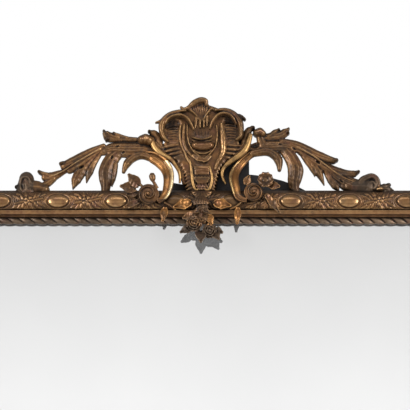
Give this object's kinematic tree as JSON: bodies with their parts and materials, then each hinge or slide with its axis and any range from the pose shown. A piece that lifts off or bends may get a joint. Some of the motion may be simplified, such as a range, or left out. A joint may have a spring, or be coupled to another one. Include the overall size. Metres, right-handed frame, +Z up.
{
  "type": "wall mirror",
  "caption": "Tall giltwood overmantel wall mirror with a pierced carved crest, oval and flower frieze, twisted sight-edge bead and ring hangers that swing out behind.",
  "frame": {"origin": "middle of the top rail's back face, which bears on the wall", "axes": "+X to the right as seen from the front, +Y into the wall, +Z up"},
  "size_m": [1.26, 0.0996, 1.9161],
  "materials": {
    "gilt_wood": "aged water gilding over red bole, with dark patina in the hollows",
    "gilt_carving": "aged gilding over carved wood and moulded composition",
    "silvered_plate": "silvered plate glass",
    "bare_pine": "bare aged softwood",
    "blackened_wood": "dull black paint",
    "steel_screws": "dulled steel",
    "wrought_iron": "dark oxidised iron"
  },
  "bodies": {
    "mirror": {"acanthus_spray_left": "gilt_carving", "acanthus_spray_right": "gilt_carving", "back_board_1": "bare_pine", "back_board_2": "bare_pine", "back_board_3": "bare_pine", "back_board_4": "bare_pine", "back_board_5": "bare_pine", "back_board_screws": "steel_screws", "bottom_rail": "gilt_wood", "bouquet_left": "gilt_carving", "bouquet_right": "gilt_carving", "c_scroll_left": "gilt_carving", "c_scroll_right": "gilt_carving", "cartouche": "gilt_carving", "cartouche_boss": "gilt_carving", "cartouche_horn_left": "gilt_carving", "cartouche_horn_right": "gilt_carving", "cartouche_rim": "gilt_carving", "cartouche_shell": "gilt_carving", "cartouche_straps": "gilt_carving", "corner_keys": "bare_pine", "corner_leaf_bottom_left": "gilt_carving", "corner_leaf_bottom_right": "gilt_carving", "corner_leaf_top_left": "gilt_carving", "corner_leaf_top_right": "gilt_carving", "crest_backing": "blackened_wood", "crest_backing_screws": "steel_screws", "crest_dowels": "bare_pine", "crest_post": "blackened_wood", "crest_screws": "steel_screws", "end_volute_left": "gilt_carving", "end_volute_right": "gilt_carving", "frieze_flowers_bottom": "gilt_carving", "frieze_flowers_left": "gilt_carving", "frieze_flowers_right": "gilt_carving", "frieze_flowers_top": "gilt_carving", "hanger_plate_left": "wrought_iron", "hanger_plate_right": "wrought_iron", "hanger_screws": "steel_screws", "left_stile": "gilt_wood", "mirror_plate": "silvered_plate", "oval_bosses_bottom": "gilt_carving", "oval_bosses_left": "gilt_carving", "oval_bosses_right": "gilt_carving", "oval_bosses_top": "gilt_carving", "pendant_bouquet": "gilt_carving", "plate_wedges": "bare_pine", "right_stile": "gilt_wood", "slim_scroll_left": "gilt_carving", "slim_scroll_right": "gilt_carving", "top_rail": "gilt_wood", "twisted_bead_bottom": "gilt_carving", "twisted_bead_left": "gilt_carving", "twisted_bead_right": "gilt_carving", "twisted_bead_top": "gilt_carving"},
    "left_ring": {"hanger_ring_left": "wrought_iron"},
    "right_ring": {"hanger_ring_right": "wrought_iron"}
  },
  "joints": [
    {"name": "left_ring_swing", "type": "hinge", "parent": "mirror", "child": "left_ring", "pos_m": [-0.6, 0.0062, -0.15], "axis": [1, 0, 0], "range_deg": [0, 180]},
    {"name": "right_ring_swing", "type": "hinge", "parent": "mirror", "child": "right_ring", "pos_m": [0.6, 0.0062, -0.15], "axis": [1, 0, 0], "range_deg": [0, 180]}
  ]
}
